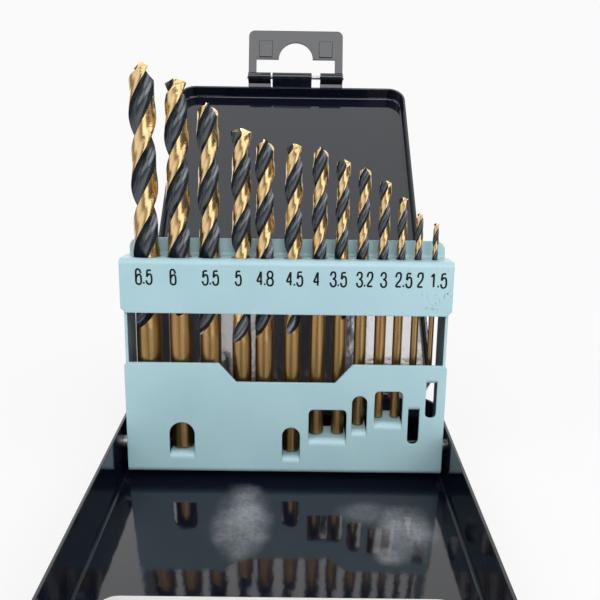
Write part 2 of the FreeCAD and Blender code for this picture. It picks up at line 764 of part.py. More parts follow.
def fluted(radius, low, high, helix, start_turn):
    """The twisted part of a drill: a section with two round flutes, swept up the axis and turned."""
    diameter = 2 * radius
    web, scoop = size("web_share") * diameter / 2, size("flute_share") * diameter
    centre = web + scoop
    open_angle = math.acos((radius**2 + centre**2 - scoop**2) / (2 * radius * centre))
    edges = []
    for turn in (math.radians(start_turn), math.radians(start_turn + 180)):
        def at(r, angle):
            return Vector(r * math.cos(angle + turn), r * math.sin(angle + turn), low)

        start, end = at(radius, -open_angle), at(radius, open_angle)
        edges.append(Part.Arc(start, at(web, 0), end).toShape())
        edges.append(Part.Arc(end, at(radius, math.pi / 2), at(radius, math.pi - open_angle)).toShape())
    section = Part.Wire(edges)
    pitch = math.pi * diameter / math.tan(math.radians(helix))
    spine = Part.Wire(Part.makeLine(Vector(0, 0, low), Vector(0, 0, high)))
    guide = Part.makeHelix(pitch, high - low, radius)
    guide.translate(Vector(0, 0, low))
    sweep = Part.BRepOffsetAPI.MakePipeShell(spine)
    sweep.setAuxiliarySpine(Part.Wire(guide.Edges), True, 0)
    sweep.add(section, False, False)
    sweep.build()
    sweep.makeSolid()
    return sweep.shape()


def point_cutter(radius, length):
    """What grinds the point: all that is outside a cone with its small end, the chisel edge, at the tip."""
    chisel, wide = size("chisel_share") * radius, 1.3 * radius
    start = length - (wide - chisel) / math.tan(math.radians(size("point_angle") / 2))
    block = Part.makeCylinder(2 * radius, length + 2 - start, Vector(0, 0, start))
    return block.cut(Part.makeCone(wide, chisel, length - start, Vector(0, 0, start)))


def make_drill(name):
    """A twist drill, foot down at the origin: relieved shank, fluted part and ground point."""
    radius = size(f"diameter_{name}") / 2
    length, flute = size(f"length_{name}"), size(f"flute_{name}")
    shank_radius = radius - size("shank_relief")
    chamfer = size("chamfer_share") * radius
    shank = Part.makeCylinder(shank_radius, length - flute)
    foot = [e for e in shank.Edges if near(e.CenterOfMass.z, 0) and e.Closed]
    shank = shank.makeChamfer(chamfer, foot)
    helix, turn = size(f"helix_{name}"), size(f"turn_{name}")
    twisted = fluted(radius, length - flute, length + 1, helix, turn)
    body = shank.fuse(twisted.cut(point_cutter(radius, length)))
    item = doc.addObject("Part::Feature", f"drill_bit_{name}")
    item.Shape = body
    lean = "-rack_lean"
    x, y, z = drill_x(name), "drill_depth", seat_height(name)
    return place(
        item,
        f"rack_shift + {x}",
        f"{RACK_FRONT} + {y} * cos(rack_lean) + {z} * sin(rack_lean)",
        f"case_wall + rack_rise - {y} * sin(rack_lean) + {z} * cos(rack_lean)",
        lean,
    )


# ---------------------------------------------------------------- the whole case

nodes = [
    make_tray(),
    make_lid(),
    make_hinge_pin(),
    make_label(),
    make_bracket(),
    make_channel(),
    make_rivet("left"),
    make_rivet("right"),
    make_leaf(),
    make_hang_pin(),
    make_tab(),
]
nodes += [make_drill(name) for name, *numbers in DRILLS]
for node in nodes:
    node.Label = node.Name
doc.recompute()

for item in doc.Objects:
    if "Invalid" in item.State or "Error" in item.State:
        raise RuntimeError(f"{item.Label} failed: {item.State}")
for node in nodes:
    if node.Shape.isNull() or not node.Shape.isValid() or not node.Shape.Solids:
        raise RuntimeError(f"{node.Label} is not a valid solid")

os.makedirs("parts", exist_ok=True)
for node in nodes:
    node.Shape.exportStep(f"parts/{node.Label}.step")
    print(node.Label, len(node.Shape.Solids), round(node.Shape.Volume, 2))
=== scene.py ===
import math

import bpy
from mathutils import Matrix, Vector
from mathutils.geometry import tessellate_polygon
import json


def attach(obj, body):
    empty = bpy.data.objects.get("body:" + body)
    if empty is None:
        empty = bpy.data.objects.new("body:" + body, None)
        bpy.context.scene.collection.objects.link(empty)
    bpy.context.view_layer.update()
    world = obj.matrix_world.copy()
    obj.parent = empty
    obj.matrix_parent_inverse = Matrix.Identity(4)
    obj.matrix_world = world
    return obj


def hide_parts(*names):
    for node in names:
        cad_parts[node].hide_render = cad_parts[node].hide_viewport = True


# An open drill index case: glossy black tray and lid, a pale blue rack in the tray, thirteen black and gold
# twist drills in the rack, and a hang tab on the lid. Blender's units are metres, in the frame of the packed
# model. Sizes in millimetres are multiplied by MM where they are used.

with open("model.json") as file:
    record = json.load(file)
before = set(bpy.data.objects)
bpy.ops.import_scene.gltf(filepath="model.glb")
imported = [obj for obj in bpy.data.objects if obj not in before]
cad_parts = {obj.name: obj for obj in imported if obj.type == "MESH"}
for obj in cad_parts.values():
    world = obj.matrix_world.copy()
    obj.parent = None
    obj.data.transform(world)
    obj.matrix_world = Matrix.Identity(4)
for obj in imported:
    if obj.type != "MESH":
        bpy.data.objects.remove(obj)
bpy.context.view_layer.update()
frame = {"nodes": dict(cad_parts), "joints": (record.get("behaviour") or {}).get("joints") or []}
nodes = frame["nodes"]
MM = 0.001


# ---------------------------------------------------------------- the rack's own frame


def corners_in(place, node):
    """A node's lowest and highest corners, measured in a place's own directions from its origin."""
    to_place = place.inverted() @ nodes[node].matrix_world
    points = [to_place @ vertex.co for vertex in nodes[node].data.vertices]
    return [Vector([pick(point[axis] for point in points) for axis in range(3)]) for pick in (min, max)]


def find_rack():
    """The rack's frame: x right from its middle, y from the panel's face to the back, z up from its foot.

    The drills' slides point down along the rack, so they say how far it leans."""
    _, slide_y, slide_z = next(joint["axis"] for joint in frame["joints"] if joint["name"] == "bit_6_5_lift")
    lean = Matrix.Rotation(math.atan2(slide_y, -slide_z), 4, "X")
    low, high = corners_in(lean, "rack_bracket")
    return lean @ Matrix.Translation(((low.x + high.x) / 2, low.y, low.z))


RACK_FRAME = find_rack()


# ---------------------------------------------------------------- short ways to write shader nodes


class Tree:
    """A node tree, with short ways to add and join its nodes."""

    def __init__(self, tree):
        self.tree = tree

    def add(self, kind, **inputs):
        node = self.tree.nodes.new(kind)
        for name, value in inputs.items():
            self.feed(node.inputs[name.replace("_", " ")], value)
        return node

    def feed(self, socket, value):
        if isinstance(value, bpy.types.NodeSocket):
            self.tree.links.new(value, socket)
        else:
            socket.default_value = value

    def math(self, operation, a, b=0.0):
        node = self.add("ShaderNodeMath")
        node.operation = operation
        self.feed(node.inputs[0], a)
        self.feed(node.inputs[1], b)
        return node.outputs["Value"]

    def product(self, first, *others):
        for other in others:
            first = self.math("MULTIPLY", first, other)
        return first

    def split(self, vector):
        return self.add("ShaderNodeSeparateXYZ", Vector=vector).outputs

    def vector(self, x, y, z=0.0):
        return self.add("ShaderNodeCombineXYZ", X=x, Y=y, Z=z).outputs["Vector"]

    def between(self, value, start, end, first=0.0, last=1.0):
        """From first, where value is start, straight to last, where it is end, and level beyond them."""
        node = self.add("ShaderNodeMapRange", Value=value, From_Min=start, From_Max=end)
        self.feed(node.inputs["To Min"], first)
        self.feed(node.inputs["To Max"], last)
        return node.outputs["Result"]

    def ramp(self, value, *stops):
        """A colour that runs through the stops, each a place and a colour or a grey level."""
        node = self.add("ShaderNodeValToRGB", Fac=value)
        elements = node.color_ramp.elements
        while len(elements) < len(stops):
            elements.new(0.5)
        for element, (place, colour) in zip(elements, stops):
            element.position = place
            element.color = (*(colour if isinstance(colour, tuple) else (colour,) * 3), 1)
        return node.outputs["Color"]

    def blend(self, factor, a, b):
        """A number that goes from a to b with factor."""
        node = self.add("ShaderNodeMix")
        node.data_type = "FLOAT"
        for socket, value in zip((node.inputs[0], node.inputs[2], node.inputs[3]), (factor, a, b)):
            self.feed(socket, value)
        return node.outputs[0]

    def mix(self, factor, a, b):
        """A colour that goes from a to b with factor."""
        node = self.add("ShaderNodeMix")
        node.data_type = "RGBA"
        self.feed(node.inputs[0], factor)
        for socket, value in ((node.inputs[6], a), (node.inputs[7], b)):
            self.feed(socket, (*value, 1) if isinstance(value, tuple) else value)
        return node.outputs[2]


class Material(Tree):
    """A material around one Principled shader."""

    def __init__(self, name):
        self.material = bpy.data.materials.new(name)
        self.material.use_nodes = True
        super().__init__(self.material.node_tree)
        self.shader = self.tree.nodes["Principled BSDF"]
        coordinates = self.add("ShaderNodeTexCoord").outputs
        self.points = coordinates["Object"]
        self.normal = coordinates["Normal"]

    def set(self, **inputs):
        for name, value in inputs.items():
            self.feed(self.shader.inputs[name.replace("_", " ")], value)
        return self.material

    def noise(self, scale, detail=2.0, roughness=0.5, points=None):
        node = self.add("ShaderNodeTexNoise", Scale=scale, Detail=detail, Roughness=roughness)
        self.feed(node.inputs["Vector"], points or self.points)
        return node.outputs["Fac"]

    def bump(self, height, strength, distance, normal=None):
        node = self.add("ShaderNodeBump", Height=height, Strength=strength, Distance=distance)
        if normal:
            self.feed(node.inputs["Normal"], normal)
        return node.outputs["Normal"]

    def round_edges(self, radius):
        node = self.add("ShaderNodeBevel", Radius=radius)
        node.samples = 6
        return node.outputs["Normal"]

    def attribute(self, name):
        node = self.add("ShaderNodeAttribute")
        node.attribute_name = name
        return node.outputs["Fac"]

    def along_twist(self, stretch):
        """Places on a drill's surface, in millimetres, drawn out along the twist."""
        return self.vector(self.attribute("across"), self.product(self.attribute("along"), stretch))


# ---------------------------------------------------------------- materials

PAINTED_GLARE = [
    # middle x and y, half size along x and y, and strength of each patch of painted highlight on the tray's
    # floor
    (-9.5, 25, 7.5, 14, 1.0),
    (20, 28, 9, 5, 0.3),
    (29, 22, 7.5, 10.5, 0.9),
    (25, 13, 5, 4, 0.6),
]
# the painted highlight fades out between these levels, so that it stays on the floor, and its edge is soft
# and wavy
PAINTED_GLARE_LEVELS = (1.2 * MM, 1.0 * MM)
PAINTED_GLARE_REACH = 1.25
PAINTED_GLARE_WAVE = 1.7

# where the rack's enamel gets painted shade on its inner sides and where it shows its chips, each pair from
# none to full.
PAINTED_SHADE_SIDE = (37 * MM, 38 * MM)
CHIPS_RIGHT = (24 * MM, 36 * MM)
CHIPS_BOTTOM = (45 * MM, 48 * MM)
CHIPS_TOP = (59 * MM, 55.5 * MM)


def painted_glare(m):
    """How strongly the painted highlight shows, in patches with soft, wavy edges and fine ripples."""
    x, y, z = m.split(m.points)
    wave = m.product(m.math("SUBTRACT", m.noise(120, 3), 0.5), PAINTED_GLARE_WAVE)
    total = 0.0
    for middle_x, middle_y, wide, long, strength in PAINTED_GLARE:
        away_x = m.math("DIVIDE", m.math("SUBTRACT", x, middle_x * MM), wide * MM)
        away_y = m.math("DIVIDE", m.math("SUBTRACT", y, middle_y * MM), long * MM)
        squares = m.math("ADD", m.math("POWER", away_x, 2.0), m.math("POWER", away_y, 2.0))
        inside = m.between(m.math("ADD", squares, wave), PAINTED_GLARE_REACH, 0.0)
        total = m.math("MAXIMUM", total, m.product(m.math("POWER", inside, 2.0), strength))
    ripples = m.ramp(m.noise(1100, 3, 0.6), (0.3, 0.65), (0.7, 1))
    return m.product(total, m.between(z, *PAINTED_GLARE_LEVELS), ripples)


def black_enamel(name="black_enamel", with_painted_glare=False):
    """Thick gloss enamel with orange peel and a few specks of dust, and pale patches of painted highlight on
    the tray's floor.
    """
    m = Material(name)
    flow = m.bump(m.noise(60, 1), 0.3, 0.00022, m.round_edges(0.0003))
    specks = m.ramp(m.noise(2600, 1), (0.77, 0), (0.81, 0.6))
    colour = m.mix(specks, (0.004, 0.0055, 0.012), (0.14, 0.14, 0.15))
    if with_painted_glare:
        # painted highlight: paler patches on the tray's floor stand in for glare in its gloss
        colour = m.mix(painted_glare(m), colour, (0.28, 0.285, 0.305))
    return m.set(
        Base_Color=colour,
        Roughness=0.07,
        Specular_IOR_Level=0.55,
        Normal=m.bump(m.noise(330, 2), 0.3, 0.00006, flow),
    )


def blue_enamel():
    """Satin pale blue enamel with pimples, painted shade on its inner sides, and dark chips at the band's
    right end.
    """
    m = Material("blue_enamel")
    x, _, z = m.split(m.points)
    normal_x, normal_y, _ = m.split(m.normal)
    inward = m.between(m.product(normal_x, m.math("SIGN", x)), -0.4, -0.8)
    painted_shade = m.product(inward, m.between(m.math("ABSOLUTE", x), *PAINTED_SHADE_SIDE))
    forward = m.between(normal_y, -0.5, -0.9)
    chipped = m.product(
        m.ramp(m.noise(230, 2), (0.45, 0), (0.58, 1)),
        m.between(x, *CHIPS_RIGHT),
        forward,
        m.between(z, *CHIPS_BOTTOM),
        m.between(z, *CHIPS_TOP),
    )
    chips = m.ramp(m.noise(1900, 3, 0.7, m.vector(x, 0.0, m.product(z, 0.45))), (0.585, 0), (0.625, 0.85))
    colour = m.ramp(m.noise(70, 3), (0.3, (0.325, 0.50, 0.552)), (0.7, (0.357, 0.537, 0.585)))
    # painted shade: the inner faces at the rack's two ends are darkened for the shade they stand in
    colour = m.mix(painted_shade, colour, (0.085, 0.12, 0.145))
    peel = m.bump(m.noise(420, 3), 0.3, 0.00004, m.round_edges(0.00035))
    pimples = m.ramp(m.noise(620, 1), (0.70, 0), (0.78, 1))
    return m.set(
        Base_Color=m.mix(m.product(chips, chipped), colour, (0.03, 0.045, 0.06)),
        Roughness=m.ramp(m.noise(90, 2), (0.3, 0.30), (0.7, 0.38)),
        Normal=m.bump(pimples, 0.35, 0.00006, peel),
    )


def black_flute():
    """Glossy blue-black oxide in the flutes, with fine grinding lines along the twist."""
    m = Material("black_oxide")
    place = m.along_twist(0.03)
    lines = m.noise(9, 3, 0.6, place)
    broad = m.noise(2.2, 2, 0.5, place)
    return m.set(
        Base_Color=m.ramp(broad, (0.35, (0.005, 0.008, 0.013)), (0.75, (0.018, 0.026, 0.038))),
        Metallic=0.15,
        Roughness=m.ramp(lines, (0.3, 0.17), (0.7, 0.29)),
        Specular_IOR_Level=0.9,
        Specular_Tint=(0.84, 0.93, 1.0, 1),
        Coat_Weight=0.5,
        Coat_Roughness=0.2,
        Normal=m.bump(lines, 0.25, 0.00002),
    )


def gold_land(name, dark, light):
    """Straw-gold tempered steel: grinding lines along the twist, soft ripples and a thin clear coat."""
    m = Material(name)
    place = m.along_twist(0.04)
    streaks = m.noise(7, 3, 0.6, place)
    x, y, z = m.split(m.points)
    ripples = m.noise(1000, 1, 0.5, m.vector(m.product(x, 0.4), m.product(y, 0.4), z))
    return m.set(
        Base_Color=m.ramp(m.noise(1.3, 2, 0.5, place), (0.3, dark), (0.7, light)),
        Metallic=1.0,
        Roughness=m.ramp(streaks, (0.35, 0.17), (0.65, 0.3)),
        Coat_Weight=0.25,
        Coat_Roughness=0.15,
        Normal=m.bump(ripples, 0.45, 0.00015, m.bump(streaks, 0.25, 0.00002)),
    )


def gold_shank():
    """Bronze-gold shank, darker than the lands partly as painted shade for the shade inside the rack, with
    fine lines along it and darker specks.
    """
    m = Material("gold_shank")
    lines = m.noise(5, 3, 0.6, m.along_twist(0.02))
    grain = m.noise(5200, 2)
    # partly painted shade: the shank's gold is darker than the lands' for the shade it stands in inside the
    # rack
    colour = m.mix(m.ramp(grain, (0.45, 0), (0.7, 0.6)), (0.33, 0.20, 0.08), (0.12, 0.065, 0.022))
    return m.set(
        Base_Color=m.mix(m.ramp(lines, (0.4, 0), (0.65, 0.5)), colour, (0.50, 0.32, 0.13)),
        Metallic=1.0,
        Roughness=0.31,
        Normal=m.bump(grain, 0.15, 0.00001),
    )


def drawn_steel():
    """Bare grey steel of the pins and rivets."""
    m = Material("drawn_steel")
    return m.set(
        Base_Color=m.ramp(m.noise(900, 2), (0.3, 0.35), (0.7, 0.5)),
        Metallic=1.0,
        Roughness=0.35,
    )


def black_ink():
    """Matt ink of the printed numbers."""
    m = Material("black_ink")
    return m.set(
        Base_Color=m.ramp(m.noise(900, 2), (0.35, 0.004), (0.7, 0.010)),
        Roughness=0.6,
        Specular_IOR_Level=0.12,
    )


def pale_print():
    """The blank face of the label plate."""
    m = Material("pale_print")
    return m.set(
        Base_Color=m.ramp(m.noise(30, 2), (0.35, (0.71, 0.70, 0.68)), (0.65, (0.77, 0.76, 0.74))),
        Roughness=0.35,
    )


def dress(names, material):
    """Gives CAD nodes their material."""
    for name in names:
        mesh = nodes[name].data
        mesh.materials.clear()
        mesh.materials.append(material)


dress(["tray"], black_enamel("tray_enamel", with_painted_glare=True))
dress(["lid", "hang_tab", "hang_tab_leaf"], black_enamel())
dress(["rack_bracket", "rack_top_channel"], blue_enamel())
dress(["hinge_pin", "hang_tab_pin", "rack_rivet_left", "rack_rivet_right"], drawn_steel())
dress(["tray_label"], pale_print())


# ---------------------------------------------------------------- the drills

DRILLS = [
    # name, which is also the diameter, flute length in millimetres, helix angle, turn of the flutes
    ("6_5", 64.6, 31.4, 41),
    ("6_0", 57.5, 31.5, 89),
    ("5_5", 57.6, 29.7, 9),
    ("5_0", 53.2, 31.4, 47),
    ("4_8", 50.2, 30.0, 1),
    ("4_5", 47.3, 30.0, 62),
    ("4_0", 41.7, 28.3, 43),
    ("3_5", 39.8, 28.3, 114),
    ("3_2", 36.3, 28.3, 149),
    ("3_0", 33.0, 26.9, 175),
    ("2_5", 29.9, 24.0, 141),
    ("2_0", 23.4, 24.1, 125),
    ("1_5", 16.8, 24.3, 158),
]
# the section of a drill of radius 1: the web's half thickness, the scoop's radius, the angle of the margin,
# the angle over which the land sinks behind it, the land's radius after that, and the shallowest flute
WEB = 0.18
SCOOP = 0.84
MARGIN = math.radians(3)
RAMP = math.radians(38)
LAND = 0.905
LEAST_DEPTH = 0.0015
RAMP_STEPS, BODY_STEPS, SCOOP_STEPS = 12, 6, 20
# the point: half its angle, and its slope behind the lip, which is steeper from the heel's start on
POINT_HALF = math.radians(67.5)
LIP_RELIEF = math.tan(math.radians(12))
HEEL_RELIEF = math.tan(math.radians(44))
HEEL_START = 0.5
# how much thinner the shank is, in millimetres, and its foot's chamfer and the run-out in radii
SHANK_RELIEF = 0.03
FOOT_CHAMFER = 0.2
RUNOUT = 2.1
# the rings of the mesh: those of the shank, those of the run-out, and how far apart the others are
SHANK_RINGS = 3
RUNOUT_STEPS = 24
RING_GAP = 0.22
RINGS_PER_DIAMETER = 14
LEAST_GAP = 0.01

DRILL_MATERIALS = [
    black_flute(),
    gold_land("gold_land", (0.53, 0.355, 0.155), (0.65, 0.47, 0.235)),
    gold_land("gold_point", (0.60, 0.40, 0.17), (0.74, 0.55, 0.27)),
    gold_shank(),
]
FLUTE, LAND_GOLD, POINT, SHANK = range(len(DRILL_MATERIALS))


def section(depth):
    """A drill's section of radius 1 at a share of the flute's full depth, from one lip round the land
    to the next flute's bottom, and the same again on the other side.

    Gives x, y, the angle behind the lip, and whether the point lies in the flute."""
    centre = 1 + SCOOP - (1 - WEB) * max(depth, LEAST_DEPTH)
    opening = math.acos((1 + centre**2 - SCOOP**2) / (2 * centre))
    lip = math.pi - opening
    relief = (1 - LAND) * depth
    ramp_end = MARGIN + RAMP
    rest = lip - opening - ramp_end
    angles = [0, MARGIN]
    angles += [MARGIN + RAMP * n / RAMP_STEPS for n in range(1, RAMP_STEPS + 1)]
    angles += [ramp_end + rest * n / BODY_STEPS for n in range(1, BODY_STEPS + 1)]
    points = []
    for behind in angles:
        share = min(1.0, max(0.0, (behind - MARGIN) / RAMP))
        reach = 1 - relief * share * share * (3 - 2 * share)
        points.append((reach * math.cos(lip - behind), reach * math.sin(lip - behind), behind, False))
    # the scoop, from this land's heel round to the next lip
    heel = math.atan2(math.sin(opening), math.cos(opening) - centre)
    for n in range(1, SCOOP_STEPS):
        angle = heel + (2 * math.pi - 2 * heel) * n / SCOOP_STEPS
        behind = lip - opening if n < SCOOP_STEPS / 2 else 0.0
        points.append((centre + SCOOP * math.cos(angle), SCOOP * math.sin(angle), behind, True))
    return points + [(-x, -y, behind, flute) for x, y, behind, flute in points]


def point_fall(behind):
    """How far the ground point lies below its lip, for radius 1, at an angle behind the lip."""
    return min(behind, HEEL_START) * LIP_RELIEF + max(0.0, behind - HEEL_START) * HEEL_RELIEF


def shank_ring(height, size):
    """A plain round ring of the shank, with as many points as a fluted one: x, y, z, in the flute or not."""
    ring = []
    for x, y, _, _ in section(0):
        reach = math.hypot(x, y)
        ring.append((x / reach * size, y / reach * size, height, False))
    return ring


def fluted_ring(height, length, low, radius):
    """A ring of the fluted part before its twist, cut off by the ground point, in the same form."""
    share = min(1.0, max(0.0, (height - low) / (RUNOUT * radius)))
    depth = share * (2 - share)
    full = radius - SHANK_RELIEF + SHANK_RELIEF * depth
    ring = []
    for x, y, behind, in_flute in section(depth):
        fall = math.hypot(x, y) * radius * (1 / math.tan(POINT_HALF) + point_fall(behind))
        ring.append((x * full, y * full, min(height, length - fall), in_flute))
    return ring


def drill_rings(length, low, diameter):
    """All rings of a drill before its twist, from the foot to past the tip."""
    radius = diameter / 2
    shank = radius - SHANK_RELIEF
    chamfer = FOOT_CHAMFER * radius
    runout = RUNOUT * radius
    coarse = max(RING_GAP, diameter / RINGS_PER_DIAMETER)
    rings = [shank_ring(0.0, shank - chamfer), shank_ring(chamfer, shank), shank_ring(low - LEAST_GAP, shank)]
    height = low
    while height < length + coarse:
        rings.append(fluted_ring(height, length, low, radius))
        height += runout / RUNOUT_STEPS if height < low + runout else coarse
    return rings


def twist_rings(rings, low, pitch, turn):
    """The rings' points turned round the drill's axis, and how far each lies round its ring."""
    points, across = [], []
    for number, ring in enumerate(rings):
        arc, last = 0.0, None
        for x, y, z, _ in ring:
            spin = turn + (2 * math.pi * (z - low) / pitch if number >= SHANK_RINGS else 0)
            arc += math.dist((x, y), last) if last else 0.0
            last = (x, y)
            cos, sin = math.cos(spin), math.sin(spin)
            points.append((x * cos - y * sin, x * sin + y * cos, z))
            across.append(arc)
    return points, across


def drill_faces(rings, points):
    """The drill's faces with their material slots: the skin between the rings, the foot and the tip."""
    count = len(rings[0])
    faces, slots = [], []
    for ring in range(1, len(rings)):
        base, above = (ring - 1) * count, ring * count
        for n in range(count):
            after = (n + 1) % count
            # the section runs clockwise, so the faces are wound to look outward
            faces.append((base + after, base + n, above + n, above + after))
            if rings[ring][n][3] or rings[ring][after][3]:
                slots.append(FLUTE)
            else:
                slots.append(LAND_GOLD if ring > SHANK_RINGS + RUNOUT_STEPS + 1 else SHANK)
    faces.append(tuple(range(count)))
    slots.append(SHANK)
    last = (len(rings) - 1) * count
    tip = [Vector((x, y, 0)) for x, y, _ in points[last:]]
    for corners in tessellate_polygon([tip]):
        faces.append(tuple(last + corner for corner in corners))
        slots.append(POINT)
    return faces, slots


def make_drill(name, flute, helix, turn):
    """A twist drill as one mesh, in place of its CAD node: shank, run-out, fluted part and ground point."""
    low_corner, high_corner = [corner / MM for corner in corners_in(RACK_FRAME, f"drill_bit_{name}")]
    length = high_corner.z - low_corner.z
    diameter = float(name.replace("_", "."))
    pitch = math.pi * diameter / math.tan(math.radians(helix))
    low = length - flute
    rings = drill_rings(length, low, diameter)
    points, across = twist_rings(rings, low, pitch, math.radians(turn))
    faces, slots = drill_faces(rings, points)
    mesh = bpy.data.meshes.new(f"bit_{name}")
    mesh.from_pydata([Vector(point) * MM for point in points], [], faces)
    for material in DRILL_MATERIALS:
        mesh.materials.append(material)
    mesh.polygons.foreach_set("material_index", slots)
    for word, values in (("across", across), ("along", [z for _, _, z in points])):
        mesh.attributes.new(word, "FLOAT", "POINT").data.foreach_set("value", values)
    mesh.validate()
    middle = (low_corner + high_corner) / 2
    mesh.transform(RACK_FRAME @ Matrix.Translation(Vector((middle.x, middle.y, low_corner.z)) * MM))
    mesh.set_sharp_from_angle(angle=math.radians(35))
    piece = bpy.data.objects.new(f"twist_drill_{name}", mesh)
    bpy.context.collection.objects.link(piece)
    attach(piece, f"bit_{name}")
    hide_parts(f"drill_bit_{name}")


for row in DRILLS:
    make_drill(*row)


# ---------------------------------------------------------------- the numbers on the band

NUMBER_HEIGHT = 3.3
NUMBER_LEVEL = 49.8
DIGIT_WIDTH = 1.28
DIGIT_GAP = 0.12
DOT_WIDTH = 1.15
STROKE = 0.24
PRINT_THICKNESS = 0.02
NUMBERS = [
    # text, left end in the rack's frame
    ("6.5", -36.9),
    ("6", -28.45),
    ("5.5", -20.6),
    ("5", -12.5),
    ("4.8", -7.25),
    ("4.5", 0.0),
    ("4", 6.65),
    ("3.5", 10.75),
    ("3.2", 17.2),
    ("3", 23.1),
    ("2.5", 26.75),
    ("2", 32.1),
    ("1.5", 35.3),
]
# each digit's strokes in a box 1 wide and 1 high: points, and whether the stroke is curved
DIGITS = {
    "1": [([(0.12, 0.76), (0.6, 1), (0.6, 0)], False)],
    "2": [
        ([(0.04, 0.7), (0.06, 1.04), (0.98, 1.06), (0.98, 0.64), (0.7, 0.42), (0.2, 0.2), (0.02, 0)], True),
        ([(0.02, 0), (1, 0)], False),
    ],
    "3": [
        ([(0.05, 0.76), (0.1, 1.04), (0.93, 1.04), (0.95, 0.55), (0.4, 0.53)], True),
        ([(0.4, 0.53), (1.03, 0.52), (1.06, -0.04), (0.06, -0.06), (0.0, 0.26)], True),
    ],
    "4": [([(0.76, 0), (0.76, 1), (0, 0.27), (1, 0.27)], False)],
    "5": [
        ([(0.92, 1), (0.2, 1), (0.1, 0.5)], False),
        ([(0.1, 0.5), (0.4, 0.74), (1.02, 0.68), (1.04, -0.04), (0.06, -0.06), (0.0, 0.24)], True),
    ],
    "6": [
        (
            [(0.94, 0.76), (0.85, 1.05), (0.02, 1.1), (0.0, 0.5), (0.02, -0.06)]
            + [(0.98, -0.06), (1.03, 0.34), (0.92, 0.68), (0.2, 0.66), (0.03, 0.34)],
            True,
        ),
    ],
    "8": [
        ([(0.5, 0.53), (0.0, 0.54), (0.02, 1.02), (0.98, 1.02), (1.0, 0.54), (0.5, 0.53)], True),
        ([(0.5, 0.53), (-0.08, 0.5), (-0.06, -0.04), (1.06, -0.04), (1.08, 0.5), (0.5, 0.53)], True),
    ],
    ".": [([(0.26, 0.05), (0.62, 0.05)], False)],
}
BAND_FACE = Matrix.Rotation(math.pi / 2, 4, "X")
INK = black_ink()


def strokes_of(letter):
    """A letter's strokes, the straight ones cut at their corners so that each keeps its full width."""
    for points, curved in DIGITS[letter]:
        if curved:
            yield points, True
        else:
            for a, b in zip(points, points[1:]):
                yield [a, b], False


def make_number(text, left):
    """A printed number on the band: round strokes, pressed flat on the band's face."""
    curve = bpy.data.curves.new(f"number_{text}", "CURVE")
    curve.dimensions = "3D"
    curve.bevel_depth = STROKE
    curve.bevel_resolution = 2
    curve.use_fill_caps = True
    pen = 0.0
    for letter in text:
        width = DOT_WIDTH if letter == "." else DIGIT_WIDTH
        for points, curved in strokes_of(letter):
            spline = curve.splines.new("NURBS" if curved else "POLY")
            spline.points.add(len(points) - 1)
            for point, (x, y) in zip(spline.points, points):
                point.co = (pen + x * width, y * NUMBER_HEIGHT, 0, 1)
            if curved:
                spline.order_u = 3
                spline.use_endpoint_u = True
                spline.resolution_u = 6
        pen += width
        if letter != ".":
            pen += DIGIT_GAP
    curve.materials.append(INK)
    piece = bpy.data.objects.new(f"size_{text}", curve)
    bpy.context.collection.objects.link(piece)
    place = Matrix.Translation(Vector((left, 0, NUMBER_LEVEL)) * MM)
    flat = Matrix.Diagonal((MM, MM, PRINT_THICKNESS * MM / STROKE, 1))
    piece.matrix_world = RACK_FRAME @ place @ BAND_FACE @ flat
    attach(piece, "rack")


for text, left in NUMBERS:
    make_number(text, left)


# ---------------------------------------------------------------- the floor

FLOOR_REACH = 0.27
FLOOR_MIDDLE = 0.1
FLOOR_WHITE = 0.955
# near the object the paper looks mostly plain, with a faint shadow, and further away it is all plain
PAPER_NEAR, PAPER_FAR = 0.08, 0.165
PLAIN_NEAR = 0.8


def white_table():
    """Matt white paper that shows as the plain white backdrop, with a faint shadow near the object."""
    m = Material("white_table")
    m.set(Base_Color=(0.93, 0.93, 0.93, 1), Roughness=0.6)
    ray = m.add("ShaderNodeLightPath").outputs
    gloss = m.math("MAXIMUM", ray["Is Glossy Ray"], ray["Is Transmission Ray"])
    seen = m.math("MAXIMUM", ray["Is Camera Ray"], gloss)
    distance = m.add("ShaderNodeVectorMath")
    distance.operation = "LENGTH"
    m.feed(distance.inputs[0], m.points)
    plain = m.between(distance.outputs["Value"], PAPER_NEAR, PAPER_FAR, PLAIN_NEAR)
    glow = m.add("ShaderNodeEmission", Color=(FLOOR_WHITE, FLOOR_WHITE, FLOOR_WHITE, 1), Strength=1.0)
    shader = m.add("ShaderNodeMixShader", Fac=m.product(seen, plain))
    m.feed(shader.inputs[1], m.shader.outputs["BSDF"])
    m.feed(shader.inputs[2], glow.outputs["Emission"])
    m.feed(m.tree.nodes["Material Output"].inputs["Surface"], shader.outputs["Shader"])
    return m.material


def make_floor():
    """A flat square under the object, which stays out of the model."""
    square = ((-1, -1), (1, -1), (1, 1), (-1, 1))
    corners = [(x * FLOOR_REACH, y * FLOOR_REACH + FLOOR_MIDDLE, 0) for x, y in square]
    mesh = bpy.data.meshes.new("floor")
    mesh.from_pydata(corners, [], [(0, 1, 2, 3)])
    mesh.materials.append(white_table())
    floor = bpy.data.objects.new("floor", mesh)
    bpy.context.collection.objects.link(floor)


make_floor()


# ---------------------------------------------------------------- the light

# brightness of the room for matt surfaces, and in gloss of the ceiling and of its front part, which meet at
# an edge, by the direction's y
ROOM = 0.56
OVERHEAD = 1.6
CEILING_FRONT = 0.3
CEILING_EDGE = (-0.16, -0.135)
# where the walls give way to the ceiling, by the direction's z
CEILING_START = (0.45, 0.8)
CEILING_LIGHTS = [
    # middle and half size, each by the direction's x and y, and strength
    (-0.088, -0.2, 0.033, 0.06, 8),
    (0.135, -0.2, 0.05, 0.045, 15),
]
# where a ceiling light begins and where it is full, in half sizes
SOFT_EDGE = (1.1, 0.8)
